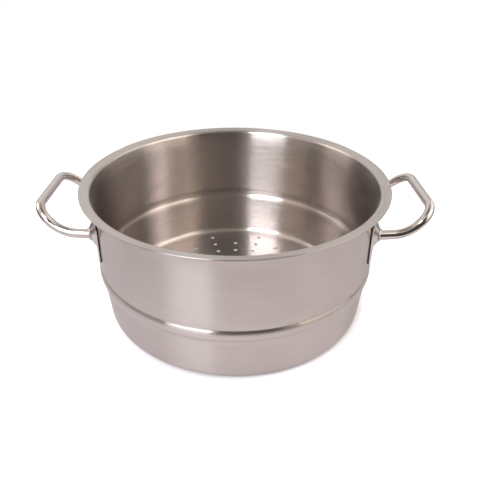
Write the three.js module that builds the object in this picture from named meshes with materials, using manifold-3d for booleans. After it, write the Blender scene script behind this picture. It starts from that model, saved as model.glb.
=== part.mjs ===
// Steamer insert for a 28 cm pot: one deep-drawn stainless steel pot with a perforated base,
// and two bent rod handles, each welded at its feet to two pressed ears on the wall.
// Millimetres, +Z up. The origin is on the table, under the middle of the base.
// +X runs from one handle to the other, and the front is at -Y.

import * as THREE from 'three';
import { ConvexGeometry } from 'three/addons/geometries/ConvexGeometry.js';
import { mergeVertices } from 'three/addons/utils/BufferGeometryUtils.js';
import Module from 'manifold-3d';

const wasm = await Module();
wasm.setup();

// Pot
const sheet = 1; // thickness of the drawn sheet
const wallRadius = 139; // outside of the upper wall
const upperHeight = 77.6; // from the crease above the bead to the top of the lip
const skirtHeight = 61.4; // from the table to the crease above the bead
const skirtInset = 0.6; // lower wall inside the upper wall, just under the bead
const skirtTaper = 4.2; // how far the lower wall draws in from the bead to the table
const footBend = 9.4; // outside radius between base and lower wall
const beadHeight = 12.4;
const beadBulge = 2.25; // how far the bead stands out from the wall
const creaseRound = 3; // radius of the hollow between the bead and the upper wall
const skirtRound = 14; // and of the one between the bead and the lower wall
const flareRadius = 90; // the upper wall's gentle turn outwards, just under the lip
const flareOut = 1.6; // how far that turn leads outwards
const lipWidth = 11;
const lipRise = 1.74; // how much the lip would rise over its whole width
const lipBend = 2.5; // radius under the lip, where it leaves the flare

// Perforated base
const holeDiameter = 5;
const ringPitch = 17; // from one ring of holes to the next
const holeMargin = 7.5; // from the edge of the flat base to the middle of the outermost holes
const holeLines = 24; // radial lines that the holes stand on
const holeSpacing = 15; // least distance along a ring from one hole to the next

// Handles
const rodDiameter = 9;
const handleDrop = 35; // from the top of the lip down to the arms of the rod
const footSpread = 106; // between the middles of a handle's two feet
const kinkReach = 24; // from the wall out to where the arms turn upwards
const kinkSpread = 100.6; // between the two arms there
const gripReach = 45.5; // from the wall out to the grip
const gripRise = 20.6; // the grip above the arms
const gripSpread = 85.6; // between the corners at the ends of the grip
const kinkBend = 38; // bend radii of the rod's middle line
const gripBend = 20;

// Ears
const earSheet = 1.5; // thickness of the pressed plate
const earHeadRadius = 12; // rounded upper end
const earTipRadius = 8.5; // rounded lower end
const earHead = 19.2; // from the rod's middle up to the top of the ear
const earTail = 32; // and down to its tip
const bossRise = 4; // raised face above the plate
const bossFaceRadius = 6.2;
const bossHead = 13.5; // foot of the raised part above the rod's middle
const bossTail = 13.5; // and below it
const bossEdge = 1.1; // plate left flat beside the raised part

// Welds
const weldLeg = 1.4; // width and height of the bead round a rod's foot
const fitGap = 0.3; // clearance between pieces that touch

// Facets of the round shapes
const potSides = 64;
const bendSteps = 3;
const beadSteps = 6;
const holeSides = 8;
const rodSides = 12;
const rodSteps = 44;
const weldSides = 16;
const earArcSteps = 4;
const bossSides = 16;

const potHeight = skirtHeight + upperHeight;
const rodRadius = rodDiameter / 2;
const handleHeight = potHeight - handleDrop;
const earBack = wallRadius + fitGap;
const bossFace = earBack + earSheet + bossRise;
const earAngle = Math.asin(footSpread / 2 / bossFace);

const satinSteel = { color: 0xb4a9a4, roughness: 0.35, metalness: 1 };
const polishedSteel = { color: 0xc9bfbb, roughness: 0.12, metalness: 1 };
const pressedSteel = { color: 0xbdb5b1, roughness: 0.25, metalness: 1 };
const weldSteel = { color: 0xa9a09b, roughness: 0.4, metalness: 1 };

function point(x, y, z = 0) {
  return new THREE.Vector3(x, y, z);
}

// Corners of a round section, once round.
function roundSection(radius, sides) {
  const round = new THREE.Shape().absarc(0, 0, radius, 0, 2 * Math.PI);
  return round.getSpacedPoints(sides).slice(0, sides);
}

// A round bend between two straight runs that meet at a corner.
class Bend extends THREE.Curve {
  constructor(before, corner, after, radius) {
    super();
    const back = before.clone().sub(corner).normalize();
    const ahead = after.clone().sub(corner).normalize();
    const half = back.angleTo(ahead) / 2;
    const run = radius / Math.tan(half);
    const middle = back.clone().add(ahead).normalize();
    this.centre = corner.clone().addScaledVector(middle, radius / Math.sin(half));
    this.start = corner.clone().addScaledVector(back, run);
    this.end = corner.clone().addScaledVector(ahead, run);
    this.turn = Math.PI - 2 * half;
  }

  getPoint(t, target = new THREE.Vector3()) {
    const fromStart = this.start.clone().sub(this.centre);
    const fromEnd = this.end.clone().sub(this.centre);
    target.copy(this.centre);
    target.addScaledVector(fromStart, Math.sin((1 - t) * this.turn) / Math.sin(this.turn));
    return target.addScaledVector(fromEnd, Math.sin(t * this.turn) / Math.sin(this.turn));
  }
}

// A closed three.js geometry as a solid that can be joined and cut.
function solidOf(geometry) {
  const bare = geometry.clone();
  bare.deleteAttribute('normal');
  bare.deleteAttribute('uv');
  const merged = mergeVertices(bare);
  const triangles = [];
  const index = merged.index.array;
  for (let i = 0; i < index.length; i += 3) {
    const [a, b, c] = index.slice(i, i + 3);
    if (a !== b && b !== c && c !== a) triangles.push(a, b, c);
  }
  return new wasm.Manifold(new wasm.Mesh({
    numProp: 3,
    vertProperties: new Float32Array(merged.attributes.position.array),
    triVerts: new Uint32Array(triangles),
  }));
}

function geometryOf(solid) {
  const { vertProperties, triVerts } = solid.getMesh();
  const geometry = new THREE.BufferGeometry();
  geometry.setAttribute('position', new THREE.BufferAttribute(vertProperties, 3));
  geometry.setIndex(new THREE.BufferAttribute(triVerts, 1));
  geometry.computeVertexNormals();
  return geometry;
}

function piece(name, geometry, finish) {
  const mesh = new THREE.Mesh(geometry, new THREE.MeshStandardMaterial(finish));
  mesh.name = name;
  return mesh;
}

// The other side of a sheet: the same line of points, moved by the thickness to its left.
function otherSide(line, thickness) {
  const left = (a, b) => point(a.y - b.y, b.x - a.x).normalize();
  return line.map((here, i) => {
    const before = left(line[Math.max(i - 1, 0)], line[Math.max(i, 1)]);
    const after = left(line[Math.min(i, line.length - 2)], line[Math.min(i + 1, line.length - 1)]);
    const mitre = before.clone().add(after).divideScalar(1 + before.dot(after));
    return here.clone().addScaledVector(mitre, thickness);
  });
}

// An arc of a section, between two angles about its middle.
function arc(middle, radius, from, to, steps) {
  const points = [];
  for (let i = 0; i <= steps; i += 1) {
    const angle = THREE.MathUtils.lerp(from, to, i / steps);
    points.push(point(middle.x + radius * Math.cos(angle), middle.y + radius * Math.sin(angle)));
  }
  return points;
}

// Middle of the round that joins the bead to a straight wall: way is 1 above the bead, -1 below it.
function roundMiddle(beadMiddle, beadRadius, corner, rise, radius, way) {
  const outward = point(rise.y, -rise.x);
  const offset = corner.clone().addScaledVector(outward, radius).sub(beadMiddle);
  const beside = offset.dot(rise);
  const reach = Math.sqrt(beside ** 2 - offset.lengthSq() + (beadRadius + radius) ** 2);
  return beadMiddle.clone().add(offset).addScaledVector(rise, way * reach - beside);
}

// The bead pressed out of the wall, with the rounds below and above it.
function beadLine(skirtFoot, skirtTop, crease) {
  const chord = crease.clone().sub(skirtTop);
  const outward = point(chord.y, -chord.x).normalize();
  const halfChord = chord.length() / 2;
  const beadRadius = (halfChord ** 2 + beadBulge ** 2) / (2 * beadBulge);
  const beadMiddle = skirtTop.clone().add(crease).divideScalar(2);
  beadMiddle.addScaledVector(outward, beadBulge - beadRadius);
  const skirtRise = skirtTop.clone().sub(skirtFoot).normalize();
  const below = roundMiddle(beadMiddle, beadRadius, skirtTop, skirtRise, skirtRound, -1);
  const above = roundMiddle(beadMiddle, beadRadius, crease, point(0, 1), creaseRound, 1);
  const low = Math.atan2(below.y - beadMiddle.y, below.x - beadMiddle.x);
  const high = Math.atan2(above.y - beadMiddle.y, above.x - beadMiddle.x);
  const skirtLean = Math.atan2(skirtRise.x, skirtRise.y);
  return [
    ...arc(below, skirtRound, Math.PI - skirtLean, Math.PI + low, bendSteps),
    ...arc(beadMiddle, beadRadius, low, high, beadSteps).slice(1),
    ...arc(above, creaseRound, Math.PI + high, Math.PI, bendSteps).slice(1),
  ];
}

// The top of the wall: a gentle flare, then the tighter bend into the lip.
function lipLine() {
  const lipSlope = Math.atan2(lipRise, lipWidth);
  const flareTurn = Math.acos(1 - flareOut / flareRadius);
  const flare = arc(point(flareRadius, 0), flareRadius, Math.PI, Math.PI - flareTurn, bendSteps);
  const bendMiddle = flare.at(-1).clone();
  bendMiddle.add(point(lipBend * Math.cos(flareTurn), -lipBend * Math.sin(flareTurn)));
  const bend = arc(bendMiddle, lipBend, Math.PI - flareTurn, Math.PI / 2 + lipSlope, bendSteps);
  const root = bend.at(-1);
  const edge = point(lipWidth, root.y + (lipWidth - root.x) * Math.tan(lipSlope));
  const place = point(wallRadius, potHeight - sheet * Math.cos(lipSlope) - edge.y);
  return [...flare, ...bend.slice(1), edge].map((p) => p.add(place));
}

// Half section of the pot's outside, from the middle of the base up to the edge of the lip.
function potOutside() {
  const skirtTop = point(wallRadius - skirtInset, skirtHeight - beadHeight);
  const skirtFoot = point(skirtTop.x - skirtTaper, 0);
  const crease = point(wallRadius, skirtHeight);
  const middle = point(0, 0);
  return [
    middle,
    ...new Bend(middle, skirtFoot, skirtTop, footBend).getPoints(bendSteps),
    ...beadLine(skirtFoot, skirtTop, crease),
    ...lipLine(),
  ];
}

// Middles of the holes, ring by ring from the outside in. The outermost ring uses every other
// line, and an inner ring drops lines until its holes are far enough apart.
function holeMiddles(outermost) {
  const middles = [];
  for (let ring = outermost; ring > ringPitch / 2; ring -= ringPitch) {
    let lines = ring === outermost ? holeLines / 2 : holeLines;
    while ((2 * Math.PI * ring) / lines < holeSpacing) lines /= 2;
    const start = lines === holeLines ? 0 : 0.5;
    for (let i = 0; i < lines; i += 1) {
      const angle = (2 * Math.PI * (i + start)) / lines;
      middles.push(point(ring * Math.cos(angle), ring * Math.sin(angle)));
    }
  }
  return middles;
}

function potShell() {
  const outside = potOutside();
  const section = [...outside, ...otherSide(outside, sheet).reverse()];
  const turned = new THREE.LatheGeometry(section, potSides).rotateX(Math.PI / 2);
  let shell = solidOf(turned);
  const flatEdge = outside[1].x;
  const holeRadius = holeDiameter / 2;
  const punchLength = 4 * sheet;
  const punch = new THREE.CylinderGeometry(holeRadius, holeRadius, punchLength, holeSides);
  punch.rotateX(Math.PI / 2);
  for (const middle of holeMiddles(flatEdge - holeMargin)) {
    shell = shell.subtract(solidOf(punch.clone().translate(middle.x, middle.y, 0)));
  }
  return geometryOf(shell);
}

// Where a foot of the right handle meets its ear: side is -1 for the front foot and 1 for the rear.
// The ear's own axes are x along the wall, y up and z straight out from the pot.
function earFrame(side) {
  const angle = side * earAngle;
  const outward = point(Math.cos(angle), Math.sin(angle));
  const along = point(-outward.y, outward.x);
  const frame = new THREE.Matrix4().makeBasis(along, point(0, 0, 1), outward);
  return frame.setPosition(outward.x * earBack, outward.y * earBack, handleHeight);
}

// Corners of the rod's middle line along one arm, from its foot to the grip.
function armCorners(side) {
  return [
    point(bossFace * Math.cos(earAngle), (side * footSpread) / 2, handleHeight),
    point(wallRadius + kinkReach, (side * kinkSpread) / 2, handleHeight),
    point(wallRadius + gripReach, (side * gripSpread) / 2, handleHeight + gripRise),
  ];
}

function rodPath() {
  const [frontFoot, frontKink, frontCorner] = armCorners(-1);
  const [rearFoot, rearKink, rearCorner] = armCorners(1);
  const beyond = (foot, kink) => foot.clone().add(foot.clone().sub(kink).setLength(rodDiameter));
  const corners = [
    beyond(frontFoot, frontKink), frontKink, frontCorner,
    rearCorner, rearKink, beyond(rearFoot, rearKink),
  ];
  const bends = [kinkBend, gripBend, gripBend, kinkBend];
  const path = new THREE.CurvePath();
  let here = corners[0];
  bends.forEach((radius, i) => {
    const bend = new Bend(corners[i], corners[i + 1], corners[i + 2], radius);
    path.add(new THREE.LineCurve3(here, bend.start));
    path.add(bend);
    here = bend.end;
  });
  path.add(new THREE.LineCurve3(here, corners.at(-1)));
  return path;
}

// The rod, with both feet cut flush with the raised faces of the ears.
function rodHandle() {
  const section = new THREE.Shape(roundSection(rodRadius, rodSides));
  const rod = new THREE.ExtrudeGeometry(section, { steps: rodSteps, extrudePath: rodPath() });
  let handle = solidOf(rod);
  const sawSize = 4 * rodDiameter;
  const saw = new THREE.BoxGeometry(sawSize, sawSize, sawSize);
  saw.translate(0, 0, bossFace - earBack + fitGap - sawSize / 2);
  for (const side of [-1, 1]) {
    handle = handle.subtract(solidOf(saw.clone().applyMatrix4(earFrame(side))));
  }
  return geometryOf(handle);
}

// An outline with two round ends of different size, one above the other.
function taperedOutline(head, headRadius, tail, tailRadius) {
  const headMiddle = head - headRadius;
  const tailMiddle = tailRadius - tail;
  const lean = Math.asin((headRadius - tailRadius) / (headMiddle - tailMiddle));
  const outline = new THREE.Shape();
  outline.absarc(0, headMiddle, headRadius, -lean, Math.PI + lean);
  outline.absarc(0, tailMiddle, tailRadius, Math.PI + lean, 2 * Math.PI - lean);
  return outline.getPoints(earArcSteps);
}

// The raised part of an ear, or the hollow behind it: a foot outline drawn up to a round face.
function boss(inset, footLevel, faceLevel) {
  const headRadius = earHeadRadius - bossEdge - inset;
  const halfTaper = (earHeadRadius - earTipRadius) / 2;
  const foot = taperedOutline(bossHead - inset, headRadius, bossTail - inset, headRadius - halfTaper);
  const face = roundSection(bossFaceRadius - inset, bossSides);
  return new ConvexGeometry([
    ...foot.map((p) => point(p.x, p.y, footLevel)),
    ...face.map((p) => point(p.x, p.y, faceLevel)),
  ]);
}

function pressedEar() {
  const outline = new THREE.Shape(taperedOutline(earHead, earHeadRadius, earTail, earTipRadius));
  const plate = new THREE.ExtrudeGeometry(outline, { depth: earSheet, bevelEnabled: false });
  const raised = boss(0, earSheet / 2, earSheet + bossRise);
  const hollow = boss(earSheet, -earSheet, bossRise);
  return geometryOf(solidOf(plate).add(solidOf(raised)).subtract(solidOf(hollow)));
}

// The weld: a three-cornered ring about the rod, sheared so that its flat side lies on the ear's face.
function footWeld(side) {
  const [foot, kink] = armCorners(side);
  const inner = (rodRadius + fitGap) / Math.cos(Math.PI / weldSides);
  const section = [
    point(inner, 0), point(inner + weldLeg, 0), point(inner, weldLeg), point(inner, 0),
  ];
  const ring = new THREE.LatheGeometry(section, weldSides).rotateX(Math.PI / 2);
  const along = kink.clone().sub(foot).normalize();
  const up = point(0, 0, 1);
  const across = up.clone().cross(along);
  const outward = point(0, 0, 0).setFromMatrixColumn(earFrame(side), 2);
  const lean = -outward.dot(across) / outward.dot(along);
  const shear = new THREE.Matrix4().makeShear(0, lean, 0, 0, 0, 0);
  const seat = foot.clone().addScaledVector(along, fitGap / outward.dot(along));
  ring.applyMatrix4(shear);
  ring.applyMatrix4(new THREE.Matrix4().makeBasis(across, up, along).setPosition(seat));
  return geometryOf(solidOf(ring));
}

const steamer = new THREE.Group();
steamer.add(piece('pot_shell', potShell(), satinSteel));
for (const [hand, turn] of [['right', 0], ['left', Math.PI]]) {
  const handle = new THREE.Group();
  handle.rotation.z = turn;
  handle.add(piece(`${hand}_handle`, rodHandle(), polishedSteel));
  for (const side of [-1, 1]) {
    const end = side * Math.cos(turn) < 0 ? 'front' : 'rear';
    const ear = piece(`${hand}_${end}_ear`, pressedEar(), pressedSteel);
    ear.applyMatrix4(earFrame(side));
    handle.add(ear, piece(`${hand}_${end}_weld`, footWeld(side), weldSteel));
  }
  steamer.add(handle);
}

export default steamer;
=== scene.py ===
"""A 28 cm stainless steel steamer insert: one drawn pot with a perforated base, four pressed ears,
two bent rod handles and the welds that hold them, on a white floor in soft studio light."""

import math

import bmesh
import bpy
from mathutils import Matrix, Vector


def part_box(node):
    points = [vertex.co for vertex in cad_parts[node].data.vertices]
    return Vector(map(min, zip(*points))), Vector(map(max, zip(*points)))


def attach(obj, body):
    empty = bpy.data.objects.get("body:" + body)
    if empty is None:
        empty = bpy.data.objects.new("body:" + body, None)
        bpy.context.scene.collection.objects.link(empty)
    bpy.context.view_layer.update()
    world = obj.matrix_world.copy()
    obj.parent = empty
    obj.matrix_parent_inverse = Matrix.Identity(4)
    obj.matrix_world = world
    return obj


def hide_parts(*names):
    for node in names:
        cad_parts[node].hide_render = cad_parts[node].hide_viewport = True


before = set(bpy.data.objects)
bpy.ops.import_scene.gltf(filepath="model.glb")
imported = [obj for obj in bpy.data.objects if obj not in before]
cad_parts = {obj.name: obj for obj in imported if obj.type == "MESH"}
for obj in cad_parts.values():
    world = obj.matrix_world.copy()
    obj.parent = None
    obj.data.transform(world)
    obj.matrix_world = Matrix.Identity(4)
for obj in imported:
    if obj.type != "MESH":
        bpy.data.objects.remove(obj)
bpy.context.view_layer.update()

# The pot.
# One disc of stainless sheet, deep drawn in a press, with its lip turned out and a bead rolled
# into the wall, which rests on the rim of a pot below. The holes are punched through the flat
# base, and the whole is brushed on a lathe, so that its fine lines run round the axis.
MM = 0.001
UP = Vector((0, 0, 1))
rim_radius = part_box("pot_shell")[1].x
pot_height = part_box("pot_shell")[1].z
sheet = 1.0 * MM
lip_width = 11.0 * MM
lip_rise = 1.74 * MM
lip_bend = 2.5 * MM
flare_radius = 90.0 * MM
flare_out = 1.6 * MM
wall_radius = rim_radius - lip_width
crease_height = 61.4 * MM
bead_height = 12.4 * MM
bead_bulge = 2.25 * MM
skirt_inset = 0.6 * MM
skirt_taper = 4.2 * MM
foot_bend = 9.4 * MM
crease_round = 3.0 * MM
skirt_round = 14.0 * MM
edge_break = 0.15 * MM
broken_edge_angle = math.radians(50)
smooth_angle = math.radians(40)
end_run = 0.8 * MM
merge_distance = 0.01 * MM
pot_steps = 192
foot_steps = 12
crease_steps = 8
bead_steps = 14
flare_steps = 10
lip_steps = 8
hole_radius = 2.5 * MM
hole_sides = 20
punch_length = 6 * sheet
hole_ring_pitch = 17.0 * MM
hole_margin = 7.5 * MM
hole_lines = 24
hole_spacing = 15.0 * MM


def run_to(bm, tip, place):
    """Draws a line of points on from its tip, straight to a place, with a point near each end."""
    whole = Vector(place) - tip.co
    short = whole.normalized() * end_run
    for step in (short, whole - 2 * short, short):
        tip = bmesh.ops.extrude_vert_indiv(bm, verts=[tip])["verts"][0]
        bmesh.ops.translate(bm, vec=step, verts=[tip])
    return tip


def bend_about(bm, tip, centre, axis, angle, steps):
    """Draws a line of points on from its tip, round an arc."""
    arc = bmesh.ops.spin(bm, geom=[tip], cent=centre, axis=axis, angle=angle, steps=steps)
    return arc["geom_last"][0]


def finish_mesh(bm, name):
    """Makes an object of a finished bmesh."""
    mesh = bpy.data.meshes.new(name)
    bm.to_mesh(mesh)
    bm.free()
    made = bpy.data.objects.new(name, mesh)
    bpy.context.scene.collection.objects.link(made)
    return made


def break_edges(piece, segments):
    """Takes the sharpness off the edges of a piece."""
    edge = piece.modifiers.new("edge", "BEVEL")
    edge.width = edge_break
    edge.segments = segments
    edge.limit_method = "ANGLE"
    edge.angle_limit = broken_edge_angle


def press_and_smooth(piece):
    """Makes a piece's modifiers final and its surface smooth, apart from its sharp edges."""
    seen = piece.evaluated_get(bpy.context.evaluated_depsgraph_get())
    piece.data = bpy.data.meshes.new_from_object(seen)
    piece.modifiers.clear()
    piece.data.shade_smooth()
    piece.data.set_sharp_from_angle(angle=smooth_angle)


def round_middle(bead_middle, bead_radius, corner, along, radius, way):
    """Middle of the round that joins the bead to a straight wall, above it or below it."""
    outward = Vector((along.z, 0, -along.x))
    offset = corner + outward * radius - bead_middle
    beside = offset.dot(along)
    reach = math.sqrt(beside**2 - offset.length_squared + (bead_radius + radius) ** 2)
    return bead_middle + offset + along * (way * reach - beside)


def arc_run(radius, start, turn):
    """How far an arc goes out and up, from an angle to the upright, through a turn outwards."""
    out = math.cos(start) - math.cos(start + turn)
    rise = math.sin(start + turn) - math.sin(start)
    return Vector((out, 0, rise)) * radius


def draw_pot_section(bm):
    """Half section of the pot's outside in the XZ plane, from the middle of the base to the lip.
    Gives the radius of the flat base."""
    turn_axis = (0, 1, 0)
    skirt_top = Vector((wall_radius - skirt_inset, 0, crease_height - bead_height))
    skirt_lean = math.atan2(skirt_taper, skirt_top.z)
    skirt_rise = Vector((math.sin(skirt_lean), 0, math.cos(skirt_lean)))
    skirt_outward = Vector((skirt_rise.z, 0, -skirt_rise.x))
    foot_radius = skirt_top.x - skirt_taper
    flat_radius = foot_radius + foot_bend * (math.tan(skirt_lean) - 1 / math.cos(skirt_lean))
    crease = Vector((wall_radius, 0, crease_height))
    half_chord = (crease - skirt_top).length / 2
    bead_radius = (half_chord**2 + bead_bulge**2) / (2 * bead_bulge)
    outward = Vector((crease.z - skirt_top.z, 0, skirt_top.x - crease.x)).normalized()
    bead_middle = (skirt_top + crease) / 2 - outward * (bead_radius - bead_bulge)
    below = round_middle(bead_middle, bead_radius, skirt_top, skirt_rise, skirt_round, -1)
    above = round_middle(bead_middle, bead_radius, crease, UP, crease_round, 1)
    skirt_turn = (below - bead_middle).angle(skirt_outward)
    crease_turn = math.atan2(above.z - bead_middle.z, above.x - bead_middle.x)
    lip_slope = math.atan2(lip_rise, lip_width)
    flare_turn = math.acos(1 - flare_out / flare_radius)
    lip_turn = math.pi / 2 - lip_slope - flare_turn
    lip_edge = Vector((rim_radius, 0, pot_height - sheet * math.cos(lip_slope)))
    flared = arc_run(flare_radius, 0, flare_turn) + arc_run(lip_bend, flare_turn, lip_turn)
    edge_rise = (lip_width - flared.x) * math.tan(lip_slope)
    flare_start = Vector((wall_radius, 0, lip_edge.z - edge_rise - flared.z))

    tip = bm.verts.new((0, 0, 0))
    tip = run_to(bm, tip, (flat_radius, 0, 0))
    foot_middle = (flat_radius, 0, foot_bend)
    tip = bend_about(bm, tip, foot_middle, turn_axis, skirt_lean - math.pi / 2, foot_steps)
    tip = run_to(bm, tip, below - skirt_outward * skirt_round)
    tip = bend_about(bm, tip, below, turn_axis, skirt_turn, crease_steps)
    bead_turn = skirt_turn + skirt_lean + crease_turn
    tip = bend_about(bm, tip, bead_middle, turn_axis, -bead_turn, bead_steps)
    tip = bend_about(bm, tip, above, turn_axis, crease_turn, crease_steps)
    tip = run_to(bm, tip, flare_start)
    flare_middle = flare_start + Vector((flare_radius, 0, 0))
    tip = bend_about(bm, tip, flare_middle, turn_axis, flare_turn, flare_steps)
    lip_middle = tip.co + (flare_middle - tip.co).normalized() * lip_bend
    tip = bend_about(bm, tip, lip_middle, turn_axis, lip_turn, lip_steps)
    run_to(bm, tip, lip_edge)
    return flat_radius


def draw_punches(bm, outermost):
    """The punches for the holes, ring by ring from the outside in. The outermost ring uses every
    other line, and an inner ring drops lines until its holes are far enough apart."""
    ring = outermost
    while ring > hole_ring_pitch / 2:
        lines = hole_lines // 2 if ring == outermost else hole_lines
        while 2 * math.pi * ring / lines < hole_spacing:
            lines //= 2
        start = 0 if lines == hole_lines else 0.5
        for i in range(lines):
            turn = Matrix.Rotation(2 * math.pi * (i + start) / lines, 4, "Z")
            bmesh.ops.create_cone(
                bm, cap_ends=True, segments=hole_sides, radius1=hole_radius, radius2=hole_radius,
                depth=punch_length, matrix=turn @ Matrix.Translation((ring, 0, 0)),
            )
        ring -= hole_ring_pitch


bm = bmesh.new()
flat_radius = draw_pot_section(bm)
bmesh.ops.spin(
    bm, geom=bm.verts[:] + bm.edges[:], cent=(0, 0, 0), axis=UP, angle=2 * math.pi,
    steps=pot_steps, use_merge=True,
)
bmesh.ops.remove_doubles(bm, verts=bm.verts[:], dist=merge_distance)
bmesh.ops.recalc_face_normals(bm, faces=bm.faces[:])
pot = finish_mesh(bm, "drawn_pot")
wall = pot.modifiers.new("wall", "SOLIDIFY")
wall.thickness = sheet
wall.offset = 1
wall.use_even_offset = True
break_edges(pot, segments=3)

bm = bmesh.new()
draw_punches(bm, flat_radius - hole_margin)
punches = finish_mesh(bm, "punches")
holes = pot.modifiers.new("holes", "BOOLEAN")
holes.operation = "DIFFERENCE"
holes.solver = "EXACT"
holes.object = punches
press_and_smooth(pot)
bpy.data.objects.remove(punches)


def linear(hex_colour):
    """An sRGB hex colour as the linear colour that a shader takes."""
    parts = [int(hex_colour[i : i + 2], 16) / 255 for i in (1, 3, 5)]
    return [c / 12.92 if c <= 0.04045 else ((c + 0.055) / 1.055) ** 2.4 for c in parts] + [1]


def add_node(tree, kind, values=(), links=(), **settings):
    """Adds one node: its settings, the values on its sockets and the links into them."""
    made = tree.nodes.new(kind)
    for key, value in settings.items():
        setattr(made, key, value)
    for socket, value in dict(values).items():
        made.inputs[socket].default_value = value
    for socket, source in dict(links).items():
        tree.links.new(source, made.inputs[socket])
    return made


def steel(name):
    """A new steel material, its node tree and its shader."""
    material = bpy.data.materials.new(name)
    material.use_nodes = True
    shader = material.node_tree.nodes["Principled BSDF"]
    shader.inputs["Metallic"].default_value = 1
    return material, material.node_tree, shader


# Lathe-brushed stainless steel. The lines run round the axis, so reflections smear across them:
# up and down the wall, and outwards over the base. The lines are drawn 1.5 mm wide, coarser than
# the real 0.1 mm, which the picture can't show, and they are stronger inside. The rollers leave the
# bead smoother outside. Inside, the upper side of its groove is painted a little darker: painted
# shade.
line_width = 1.5 * MM
line_drift = 6.0 * MM
line_height = 0.05 * MM
line_bump = 0.002
line_roughness = 0.002
lines_outside = 0.25
lines_inside = 0.65
cloud_width = 60.0 * MM
bead_roughness = 0.21
wall_roughness = 0.25
inside_roughness = 0.27
rolled_reach = 0.5 * bead_height
brushed_reach = 1.2 * bead_height
# Where the painted shade in the groove lies, and how far it fades.
groove_shade_rise = 4.0 * MM
groove_shade_full = 1.5 * MM
groove_shade_gone = 4.5 * MM
most_of_noise = {"From Min": 0.3, "From Max": 0.7}
satin, tree, shader = steel("brushed_steel")
shader.inputs["Anisotropic"].default_value = 1
shader.inputs["Anisotropic Rotation"].default_value = 0.25

place = add_node(tree, "ShaderNodeTexCoord").outputs["Object"]
x, y, z = add_node(tree, "ShaderNodeSeparateXYZ", links={0: place}).outputs
level = add_node(
    tree, "ShaderNodeVectorMath", {1: (1, 1, 0)}, {0: place}, operation="MULTIPLY"
).outputs[0]
radius = add_node(
    tree, "ShaderNodeVectorMath", links={0: level}, operation="LENGTH"
).outputs["Value"]
turn = add_node(tree, "ShaderNodeMath", links={0: y, 1: x}, operation="ARCTAN2").outputs[0]
drift = add_node(
    tree, "ShaderNodeMath", {1: line_drift}, {0: turn}, operation="MULTIPLY"
).outputs[0]
lathe = add_node(tree, "ShaderNodeCombineXYZ", links={0: radius, 1: z, 2: drift}).outputs[0]
fine = {"Scale": 1 / line_width, "Detail": 2, "Roughness": 0.6}
lines = add_node(tree, "ShaderNodeTexNoise", fine, {"Vector": lathe}).outputs[0]
broad = {"Scale": 1 / cloud_width, "Detail": 3}
clouds = add_node(tree, "ShaderNodeTexNoise", broad, {"Vector": place}).outputs[0]

pot_middle = {0: (0, 0, pot_height / 2)}
inward = add_node(
    tree, "ShaderNodeVectorMath", pot_middle, {1: place}, operation="SUBTRACT"
).outputs[0]
normal = add_node(tree, "ShaderNodeNewGeometry").outputs["Normal"]
facing = add_node(
    tree, "ShaderNodeVectorMath", links={0: normal, 1: inward}, operation="DOT_PRODUCT"
).outputs["Value"]
inside = add_node(
    tree, "ShaderNodeMath", {1: 0}, {0: facing}, operation="GREATER_THAN"
).outputs[0]

depths = {"To Min": lines_outside, "To Max": lines_inside}
depth = add_node(tree, "ShaderNodeMapRange", depths, {"Value": inside}).outputs[0]
clear_lines = add_node(tree, "ShaderNodeMapRange", most_of_noise, {"Value": lines}).outputs[0]
lined = add_node(tree, "ShaderNodeMix", links={0: depth, 2: clouds, 3: clear_lines}).outputs[0]
tones = {6: linear("#b0a7a2"), 7: linear("#c8beba")}
brushed = add_node(tree, "ShaderNodeMix", tones, {0: lined}, data_type="RGBA").outputs[2]
bead_middle = crease_height - bead_height / 2
# Painted shade: on the inside, a band along the upper side of the bead's groove is mixed towards a
# darker colour.
above_groove = add_node(
    tree, "ShaderNodeMath", {1: bead_middle + groove_shade_rise}, {0: z}, operation="SUBTRACT"
).outputs[0]
off_groove = add_node(
    tree, "ShaderNodeMath", links={0: above_groove}, operation="ABSOLUTE"
).outputs[0]
fading = {"From Min": groove_shade_full, "From Max": groove_shade_gone, "To Min": 1, "To Max": 0}
groove_shade = add_node(tree, "ShaderNodeMapRange", fading, {"Value": off_groove}).outputs[0]
painted_groove_shade = add_node(
    tree, "ShaderNodeMath", links={0: groove_shade, 1: inside}, operation="MULTIPLY"
).outputs[0]
colour = add_node(
    tree, "ShaderNodeMix", {7: linear("#aba29d")}, {0: painted_groove_shade, 6: brushed}, data_type="RGBA"
).outputs[2]
tree.links.new(colour, shader.inputs["Base Color"])

above_bead = add_node(
    tree, "ShaderNodeMath", {1: bead_middle}, {0: z}, operation="SUBTRACT"
).outputs[0]
off_bead = add_node(tree, "ShaderNodeMath", links={0: above_bead}, operation="ABSOLUTE").outputs[0]
rolled = {
    "From Min": rolled_reach,
    "From Max": brushed_reach,
    "To Min": bead_roughness,
    "To Max": wall_roughness,
}
outside_finish = add_node(tree, "ShaderNodeMapRange", rolled, {"Value": off_bead}).outputs[0]
finish = add_node(
    tree, "ShaderNodeMix", {3: inside_roughness}, {0: inside, 2: outside_finish}
).outputs[0]
streaks = {**most_of_noise, "To Min": -line_roughness, "To Max": line_roughness}
streak = add_node(tree, "ShaderNodeMapRange", streaks, {"Value": lines}).outputs[0]
streaked = add_node(tree, "ShaderNodeMath", links={0: finish, 1: streak}, operation="ADD")
tree.links.new(streaked.outputs[0], shader.inputs["Roughness"])
ridges = {"Strength": line_bump, "Distance": line_height}
bump = add_node(tree, "ShaderNodeBump", ridges, {"Height": lines})
tree.links.new(bump.outputs[0], shader.inputs["Normal"])
pot.data.materials.append(satin)
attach(pot, "root")
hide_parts("pot_shell")

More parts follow.
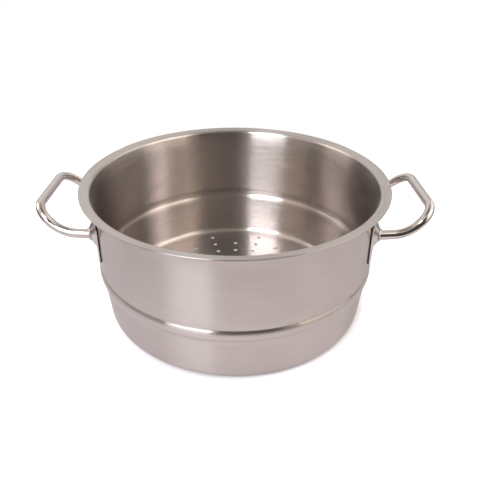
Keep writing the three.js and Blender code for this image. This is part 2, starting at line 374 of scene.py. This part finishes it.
# The ears.
# Each is a small plate pressed from 1.5 mm sheet, with a boss drawn up in its middle for the rod.
# It follows the wall's curve and is spot-welded to it through its flat rim.
rod_radius = 4.5 * MM
handle_drop = 35.0 * MM
handle_height = pot_height - handle_drop
foot_spread = 106.0 * MM
fit_gap = 0.3 * MM
ear_sheet = 1.5 * MM
ear_head = 19.2 * MM
ear_head_radius = 12.0 * MM
ear_tail = 32.0 * MM
ear_tip_radius = 8.5 * MM
boss_rise = 4.0 * MM
boss_head = 13.5 * MM
boss_tail = 13.5 * MM
boss_edge = 1.1 * MM
boss_face_radius = 6.2 * MM
boss_face_head = 6.4 * MM
press_bend = 1.6 * MM
press_bend_steps = 5
ear_arc_steps = 16
ear_back = wall_radius + fit_gap
boss_face = ear_back + ear_sheet + boss_rise
ear_angle = math.asin(foot_spread / 2 / boss_face)


def draw_outline(bm, head, head_radius, tail, tail_radius, level):
    """A closed outline with two round ends, one above the other. Gives its edges."""
    older = set(bm.edges)
    head_middle = Vector((0, head - head_radius, level))
    tail_middle = Vector((0, tail_radius - tail, level))
    lean = math.asin((head_radius - tail_radius) / (head_middle.y - tail_middle.y))
    side = Vector((math.cos(lean), -math.sin(lean), 0))
    other_side = Vector((-side.x, side.y, 0))
    start = bm.verts.new(head_middle + side * head_radius)
    tip = bend_about(bm, start, head_middle, UP, math.pi + 2 * lean, ear_arc_steps)
    tip = run_to(bm, tip, tail_middle + other_side * tail_radius)
    tip = bend_about(bm, tip, tail_middle, UP, math.pi - 2 * lean, ear_arc_steps)
    tip = run_to(bm, tip, start.co)
    bmesh.ops.pointmerge(bm, verts=[tip, start], merge_co=start.co)
    return [edge for edge in bm.edges if edge not in older]


def wrap_on_wall(bm, angle):
    """Bends a flat pattern (x along the wall, y up, z outwards) round the wall at an angle."""
    for vert in bm.verts:
        turn = angle + vert.co.x / ear_back
        out = ear_back + vert.co.z
        vert.co = (out * math.cos(turn), out * math.sin(turn), handle_height + vert.co.y)


def press_ear(name, angle):
    """One ear at its angle round the pot."""
    bm = bmesh.new()
    plate = draw_outline(bm, ear_head, ear_head_radius, ear_tail, ear_tip_radius, ear_sheet)
    foot_radius = ear_head_radius - boss_edge
    foot_tip = foot_radius - (ear_head_radius - ear_tip_radius) / 2
    foot = draw_outline(bm, boss_head, foot_radius, boss_tail, foot_tip, ear_sheet)
    face = draw_outline(
        bm, boss_face_head, boss_face_radius, boss_face_radius, boss_face_radius,
        ear_sheet + boss_rise,
    )
    bmesh.ops.bridge_loops(bm, edges=plate + foot)
    bmesh.ops.bridge_loops(bm, edges=foot + face)
    bmesh.ops.edgeloop_fill(bm, edges=face)
    bmesh.ops.recalc_face_normals(bm, faces=bm.faces[:])
    bmesh.ops.bevel(
        bm, geom=[edge for edge in foot + face if edge.is_valid], offset=press_bend,
        offset_type="OFFSET", affect="EDGES", segments=press_bend_steps, profile=0.5,
        material=-1, clamp_overlap=True,
    )
    wrap_on_wall(bm, angle)
    made = finish_mesh(bm, name)
    plate_wall = made.modifiers.new("plate", "SOLIDIFY")
    plate_wall.thickness = ear_sheet
    plate_wall.offset = -1
    break_edges(made, segments=2)
    press_and_smooth(made)
    return made


# Pressed sheet, lightly polished: smooth, with the faint mottle that the press leaves, and painted
# shade darkening its edge along the seam with the wall.
mottle_width = 6.0 * MM
mottle_height = 0.1 * MM
mottle_bump = 0.04
seam_shade_full = 0.6 * MM
seam_shade_gone = 1.1 * MM
pressed, tree, shader = steel("pressed_steel")
place = add_node(tree, "ShaderNodeTexCoord").outputs["Object"]
coarse = {"Scale": 1 / mottle_width, "Detail": 3}
mottle = add_node(tree, "ShaderNodeTexNoise", coarse, {"Vector": place}).outputs[0]
level = add_node(
    tree, "ShaderNodeVectorMath", {1: (1, 1, 0)}, {0: place}, operation="MULTIPLY"
).outputs[0]
radius = add_node(
    tree, "ShaderNodeVectorMath", links={0: level}, operation="LENGTH"
).outputs["Value"]
# Painted shade: the plate's edge within 0.6 mm of the wall is mixed to a dark colour, fading out by
# 1.1 mm.
seam_shade_span = {"From Min": ear_back + seam_shade_full, "From Max": ear_back + seam_shade_gone}
clear = add_node(tree, "ShaderNodeMapRange", seam_shade_span, {"Value": radius}).outputs[0]
tones = {6: linear("#c4bebb"), 7: linear("#d2cdca")}
plate = add_node(tree, "ShaderNodeMix", tones, {0: mottle}, data_type="RGBA").outputs[2]
colour = add_node(
    tree, "ShaderNodeMix", {6: linear("#443e3c")}, {0: clear, 7: plate}, data_type="RGBA"
).outputs[2]
tree.links.new(colour, shader.inputs["Base Color"])
shine = {**most_of_noise, "To Min": 0.22, "To Max": 0.29}
roughness = add_node(tree, "ShaderNodeMapRange", shine, {"Value": mottle}).outputs[0]
tree.links.new(roughness, shader.inputs["Roughness"])
dimples = {"Strength": mottle_bump, "Distance": mottle_height}
bump = add_node(tree, "ShaderNodeBump", dimples, {"Height": mottle})
tree.links.new(bump.outputs[0], shader.inputs["Normal"])

sides = {"right": 0, "left": math.pi}
ends = {"front": -1, "rear": 1}
for hand, half_turn in sides.items():
    for end, way in ends.items():
        turn = half_turn + way * math.cos(half_turn) * ear_angle
        ear = press_ear(f"{hand}_{end}_pressed_ear", turn)
        ear.data.materials.append(pressed)
        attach(ear, "root")
        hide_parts(f"{hand}_{end}_ear")

# The handles.
# Each is one length of 9 mm round rod, bent four times and polished, with its two feet cut to lie
# flat on the faces of the ears.
kink_reach = 24.0 * MM
kink_spread = 100.6 * MM
kink_bend = 38.0 * MM
grip_reach = 45.5 * MM
grip_rise = 20.6 * MM
grip_spread = 85.6 * MM
grip_bend = 20.0 * MM
rod_sides = 40
rod_bend_steps = 24


def arm_corners(way):
    """Corners of the middle line of one arm of the right handle, from its foot to the grip."""
    foot_x = boss_face * math.cos(ear_angle)
    grip_height = handle_height + grip_rise
    return [
        Vector((foot_x, way * foot_spread / 2, handle_height)),
        Vector((wall_radius + kink_reach, way * kink_spread / 2, handle_height)),
        Vector((wall_radius + grip_reach, way * grip_spread / 2, grip_height)),
    ]


def draw_rod(bm, corners, bends):
    """A round rod along straight runs that meet in round bends."""
    along = (corners[1] - corners[0]).normalized()
    aim = Matrix.Translation(corners[0]) @ along.to_track_quat("Z", "Y").to_matrix().to_4x4()
    bmesh.ops.create_circle(bm, radius=rod_radius, segments=rod_sides, matrix=aim)
    ring = bm.verts[:] + bm.edges[:]
    reached = corners[0]
    for corner, after, radius in zip(corners[1:], corners[2:], bends):
        onward = (after - corner).normalized()
        angle = along.angle(onward)
        start = corner - along * radius * math.tan(angle / 2)
        inward = (onward - along * along.dot(onward)).normalized()
        ring = bmesh.ops.spin(
            bm, geom=ring, cent=reached, axis=UP, dvec=start - reached, angle=0, steps=1
        )["geom_last"]
        ring = bmesh.ops.spin(
            bm, geom=ring, cent=start + inward * radius, axis=along.cross(onward), angle=angle,
            steps=rod_bend_steps,
        )["geom_last"]
        reached = corner + onward * radius * math.tan(angle / 2)
        along = onward
    bmesh.ops.spin(
        bm, geom=ring, cent=reached, axis=UP, dvec=corners[-1] - reached, angle=0, steps=1
    )


def bend_handle(name, half_turn):
    """One handle: the rod drawn past its feet, then sawn off along the faces of its ears."""
    front, rear = arm_corners(-1), arm_corners(1)
    corners = [2 * front[0] - front[1], *front[1:], *rear[:0:-1], 2 * rear[0] - rear[1]]
    bm = bmesh.new()
    draw_rod(bm, corners, [kink_bend, grip_bend, grip_bend, kink_bend])
    for way in ends.values():
        outward = Vector((math.cos(ear_angle), way * math.sin(ear_angle), 0))
        arm = [vert for vert in bm.verts if vert.co.y * way > 0]
        arm += [edge for edge in bm.edges if all(vert.co.y * way > 0 for vert in edge.verts)]
        arm += [face for face in bm.faces if all(vert.co.y * way > 0 for vert in face.verts)]
        bmesh.ops.bisect_plane(
            bm, geom=arm, plane_co=outward * (boss_face + fit_gap), plane_no=outward,
            clear_inner=True,
        )
    bmesh.ops.holes_fill(bm, edges=bm.edges[:])
    bmesh.ops.recalc_face_normals(bm, faces=bm.faces[:])
    bmesh.ops.rotate(bm, verts=bm.verts[:], matrix=Matrix.Rotation(half_turn, 3, "Z"))
    made = finish_mesh(bm, name)
    press_and_smooth(made)
    return made


# Polished rod: a clear shine, with the faint haze and the fine scratches of a buffing wheel. The
# scratches are drawn 0.7 mm wide, coarser than real ones.
haze_width = 9.0 * MM
scratch_width = 0.7 * MM
scratch_height = 0.05 * MM
scratch_bump = 0.05
polished, tree, shader = steel("polished_steel")
place = add_node(tree, "ShaderNodeTexCoord").outputs["Object"]
wide = {"Scale": 1 / haze_width, "Detail": 3}
haze = add_node(tree, "ShaderNodeTexNoise", wide, {"Vector": place}).outputs[0]
narrow = {"Scale": 1 / scratch_width, "Detail": 2}
scratches = add_node(tree, "ShaderNodeTexNoise", narrow, {"Vector": place}).outputs[0]
tones = {6: linear("#c4bab5"), 7: linear("#d2c9c5")}
colour = add_node(tree, "ShaderNodeMix", tones, {0: haze}, data_type="RGBA").outputs[2]
tree.links.new(colour, shader.inputs["Base Color"])
shine = {**most_of_noise, "To Min": 0.08, "To Max": 0.14}
roughness = add_node(tree, "ShaderNodeMapRange", shine, {"Value": haze}).outputs[0]
tree.links.new(roughness, shader.inputs["Roughness"])
nicks = {"Strength": scratch_bump, "Distance": scratch_height}
bump = add_node(tree, "ShaderNodeBump", nicks, {"Height": scratches})
tree.links.new(bump.outputs[0], shader.inputs["Normal"])

for hand, half_turn in sides.items():
    handle = bend_handle(f"{hand}_bent_rod", half_turn)
    handle.data.materials.append(polished)
    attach(handle, "root")
    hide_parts(f"{hand}_handle")

# The welds.
# A bead of filler metal runs round each foot of a rod, where it meets the face of its ear. It
# stands in small ripples, one for each dip of the filler wire.
weld_leg = 1.4 * MM
ripples = 22
ripple_depth = 0.12
weld_sides = 132
weld_arc_steps = 8


def lay_weld(name, way, half_turn):
    """One weld, sheared so that its flat side lies on the ear's face."""
    foot, kink, _ = arm_corners(way)
    inner = rod_radius + fit_gap
    along = (kink - foot).normalized()
    beside = UP.cross(along)
    outward = Vector((math.cos(ear_angle), way * math.sin(ear_angle), 0))
    lean = -outward.dot(beside) / outward.dot(along)
    seat = foot + along * fit_gap / outward.dot(along)
    bm = bmesh.new()
    tip = bm.verts.new((inner + weld_leg, 0, 0))
    tip = bend_about(bm, tip, (inner, 0, 0), (0, 1, 0), -math.pi / 2, weld_arc_steps)
    tip = bmesh.ops.extrude_vert_indiv(bm, verts=[tip])["verts"][0]
    tip.co = (inner, 0, 0)
    bmesh.ops.spin(
        bm, geom=bm.verts[:] + bm.edges[:], cent=(0, 0, 0), axis=UP, angle=2 * math.pi,
        steps=weld_sides, use_merge=True,
    )
    for vert in bm.verts:
        around = Vector(vert.co.xy)
        swell = 1 - ripple_depth * (0.5 + 0.5 * math.cos(ripples * math.atan2(*around)))
        across = (around.length - inner) * swell
        vert.co.xy = around.normalized() * (inner + across)
        vert.co.z = vert.co.z * swell + lean * vert.co.x
    basis = Matrix((beside, UP, along)).transposed().to_4x4()
    turn = Matrix.Rotation(half_turn, 4, "Z")
    bmesh.ops.transform(bm, matrix=turn @ Matrix.Translation(seat) @ basis, verts=bm.verts[:])
    bmesh.ops.holes_fill(bm, edges=bm.edges[:])
    bmesh.ops.recalc_face_normals(bm, faces=bm.faces[:])
    made = finish_mesh(bm, name)
    press_and_smooth(made)
    return made


# Weld metal, brushed clean: uneven in shine, and in places darker than the sheet, with a little
# straw colour left by the heat.
stain_width = 3.0 * MM
weld_metal, tree, shader = steel("weld_steel")
place = add_node(tree, "ShaderNodeTexCoord").outputs["Object"]
patchy = {"Scale": 1 / stain_width, "Detail": 3}
stain = add_node(tree, "ShaderNodeTexNoise", patchy, {"Vector": place}).outputs[0]
tones = {6: linear("#b6aca4"), 7: linear("#d0cac6")}
colour = add_node(tree, "ShaderNodeMix", tones, {0: stain}, data_type="RGBA").outputs[2]
tree.links.new(colour, shader.inputs["Base Color"])
shine = {**most_of_noise, "To Min": 0.14, "To Max": 0.28}
roughness = add_node(tree, "ShaderNodeMapRange", shine, {"Value": stain}).outputs[0]
tree.links.new(roughness, shader.inputs["Roughness"])

for hand, half_turn in sides.items():
    for end, way in ends.items():
        weld = lay_weld(f"{hand}_{end}_weld_bead", way * round(math.cos(half_turn)), half_turn)
        weld.data.materials.append(weld_metal)
        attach(weld, "root")
        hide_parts(f"{hand}_{end}_weld")

# The floor.
# A round white sheet that glows, so that the camera sees it white. The steel sees a painted pool of
# glow on it, brightest in front of the pot, and under the pot it has no light of its own.
floor_radius = 0.5
floor_sides = 96
floor_drop = 0.2 * MM
glow_to_camera = 0.82
glow_to_steel = 0.14
bm = bmesh.new()
bmesh.ops.create_circle(bm, cap_ends=True, radius=floor_radius, segments=floor_sides)
bmesh.ops.translate(bm, vec=(0, 0, -floor_drop), verts=bm.verts[:])
floor = finish_mesh(bm, "floor")
white = bpy.data.materials.new("white_sheet")
white.use_nodes = True
tree = white.node_tree
tree.nodes.remove(tree.nodes["Principled BSDF"])
place = add_node(tree, "ShaderNodeTexCoord").outputs["Object"]
distance = add_node(
    tree, "ShaderNodeVectorMath", links={0: place}, operation="LENGTH"
).outputs["Value"]
covered = {"From Min": flat_radius, "From Max": rim_radius}
open_floor = add_node(tree, "ShaderNodeMapRange", covered, {"Value": distance}).outputs[0]
# Painted light: a glow that only reflections in the steel see, full within a rim's radius of a
# point in front of the pot and gone at twice that.
glow_pool_middle = {1: (0, -2 * rim_radius, 0)}
aside = add_node(
    tree, "ShaderNodeVectorMath", glow_pool_middle, {0: place}, operation="DISTANCE"
).outputs["Value"]
fading = {
    "From Min": rim_radius,
    "From Max": 2 * rim_radius,
    "To Min": glow_to_steel,
    "To Max": 0,
}
painted_glow_pool = add_node(tree, "ShaderNodeMapRange", fading, {"Value": aside}).outputs[0]
rays = add_node(tree, "ShaderNodeLightPath").outputs
to_steel = add_node(
    tree, "ShaderNodeMath", links={0: rays["Is Glossy Ray"], 1: painted_glow_pool}, operation="MULTIPLY"
).outputs[0]
to_all = add_node(
    tree, "ShaderNodeMath", {1: glow_to_camera}, {0: rays["Is Camera Ray"], 2: to_steel},
    operation="MULTIPLY_ADD",
).outputs[0]
strength = add_node(
    tree, "ShaderNodeMath", links={0: to_all, 1: open_floor}, operation="MULTIPLY"
).outputs[0]
glow = add_node(tree, "ShaderNodeEmission", links={"Strength": strength}).outputs[0]
matt = add_node(tree, "ShaderNodeBsdfDiffuse", {"Color": linear("#d0cbcf")}).outputs[0]
sheet_of_paper = add_node(tree, "ShaderNodeAddShader", links={0: glow, 1: matt})
tree.links.new(sheet_of_paper.outputs[0], tree.nodes["Material Output"].inputs["Surface"])
floor.data.materials.append(white)

# The room.
# White beyond the pot, dark near the level, where the bead and the inside of the pot show it, and
# darker straight overhead, which the rods show as a line along their tops. Six upright soft panels
# light the steel. Angles are from the front, to the right, and up from the level.
level_tones = {
    -180: "#f0f0f2",
    -135: "#a4a4a6",
    -110: "#545250",
    -70: "#8e8c8a",
    -50: "#7a7876",
    -10: "#5c5650",
    40: "#4a4846",
    90: "#8a8886",
    135: "#a4a4a6",
    180: "#f0f0f2",
}
middle_tones = {
    -180: "#fffefc",
    -60: "#fffcf6",
    -50: "#fff4e6",
    -16: "#c8c4c0",
    -10: "#5c5a58",
    34: "#5c5a58",
    42: "#e8e0d4",
    90: "#fffaf0",
    130: "#fffaf0",
    160: "#e6e2dc",
    180: "#fffefc",
}
ceiling_tones = {
    -180: "#a8a6a4",
    -80: "#faf8f2",
    0: "#f4eee2",
    80: "#ffffff",
    180: "#a8a6a4",
}
zenith_tones = {-180: "#7a746e", 180: "#7a746e"}
middle_rise = (8, 20)
ceiling_rise = (50, 62)
zenith_rise = (70, 79)
layers = {middle_rise: middle_tones, ceiling_rise: ceiling_tones, zenith_rise: zenith_tones}
world = bpy.data.worlds.new("studio")
bpy.context.scene.world = world
world.use_nodes = True
tree = world.node_tree
background = tree.nodes["Background"]
way_out = add_node(tree, "ShaderNodeTexCoord").outputs["Generated"]
right, back, up = add_node(tree, "ShaderNodeSeparateXYZ", links={0: way_out}).outputs
ahead = add_node(tree, "ShaderNodeMath", {1: -1}, {0: back}, operation="MULTIPLY").outputs[0]
bearing = add_node(
    tree, "ShaderNodeMath", links={0: right, 1: ahead}, operation="ARCTAN2"
).outputs[0]
half_turns = {"From Min": -math.pi, "From Max": math.pi}
share = add_node(tree, "ShaderNodeMapRange", half_turns, {"Value": bearing}).outputs[0]


def tones_round(tones):
    """The colour of the room along one level, from a table of its tones by angle."""
    ramp = add_node(tree, "ShaderNodeValToRGB", links={0: share})
    stops = ramp.color_ramp.elements
    while len(stops) < len(tones):
        stops.new(0.5)
    for stop, (angle, colour) in zip(stops, tones.items()):
        stop.position = (angle + 180) / 360
        stop.color = linear(colour)
    return ramp.outputs[0]


room = tones_round(level_tones)
for (low, high), tones in layers.items():
    fading = {"From Min": math.sin(math.radians(low)), "From Max": math.sin(math.radians(high))}
    risen = add_node(
        tree, "ShaderNodeMapRange", fading, {"Value": up}, interpolation_type="SMOOTHSTEP"
    ).outputs[0]
    colours = {0: risen, 6: room, 7: tones_round(tones)}
    room = add_node(tree, "ShaderNodeMix", links=colours, data_type="RGBA").outputs[2]
camera_ray = add_node(tree, "ShaderNodeLightPath").outputs["Is Camera Ray"]
seen = add_node(
    tree, "ShaderNodeMix", {7: linear("#ffffff")}, {0: camera_ray, 6: room}, data_type="RGBA"
).outputs[2]
tree.links.new(seen, background.inputs["Color"])
panel_distance = 1.2


def panel(name, side, span, low, high, radiance, colour):
    """An upright soft panel that fills a span of angles to one side, from a low to a high angle."""
    width = 2 * panel_distance * math.tan(math.radians(span / 2))
    bottom, top = (panel_distance * math.tan(math.radians(angle)) for angle in (low, high))
    lamp = bpy.data.lights.new(name, "AREA")
    lamp.shape = "RECTANGLE"
    lamp.size = width
    lamp.size_y = top - bottom
    lamp.energy = radiance * math.pi * lamp.size * lamp.size_y
    lamp.color = linear(colour)[:3]
    made = bpy.data.objects.new(name, lamp)
    bpy.context.scene.collection.objects.link(made)
    aim = Matrix.Rotation(math.radians(side), 4, "Z") @ Matrix.Rotation(math.pi / 2, 4, "X")
    middle = pot_height / 2 + (bottom + top) / 2
    made.matrix_world = aim @ Matrix.Translation((0, middle, panel_distance))
    made.visible_camera = False


cool = "#f0f8ff"
warm = "#fff4e6"
panel("front_left_panel", side=-32, span=32, low=28, high=56, radiance=14.0, colour=cool)
panel("front_left_apron", side=-32, span=32, low=-4, high=28, radiance=1.5, colour=cool)
panel("right_panel", side=68, span=44, low=26, high=58, radiance=2.4, colour=warm)
panel("right_apron", side=68, span=44, low=0, high=26, radiance=1.0, colour=warm)
panel("right_rear_panel", side=115, span=50, low=8, high=58, radiance=0.6, colour="#fffaf2")
panel("left_panel", side=-103, span=30, low=10, high=50, radiance=1.6, colour="#fff6e8")

# The camera.
# Placed by a fit to the rim, the bead and the base in the photograph.
camera_distance = 0.4569
camera_height = 0.34105
camera_dip = math.radians(31.03)
camera_turn = math.radians(0.55)
camera = bpy.data.cameras.new("camera")
camera.sensor_width = 36
camera.lens = 37.7
camera.shift_x = 0.0106
viewer = bpy.data.objects.new("camera", camera)
bpy.context.scene.collection.objects.link(viewer)
stand = Vector((0, -camera_distance, camera_height))
viewer.location = Matrix.Rotation(camera_turn, 3, "Z") @ stand
viewer.rotation_euler = (math.pi / 2 - camera_dip, 0, camera_turn)
bpy.context.scene.camera = viewer
bpy.context.scene.view_settings.view_transform = "Standard"
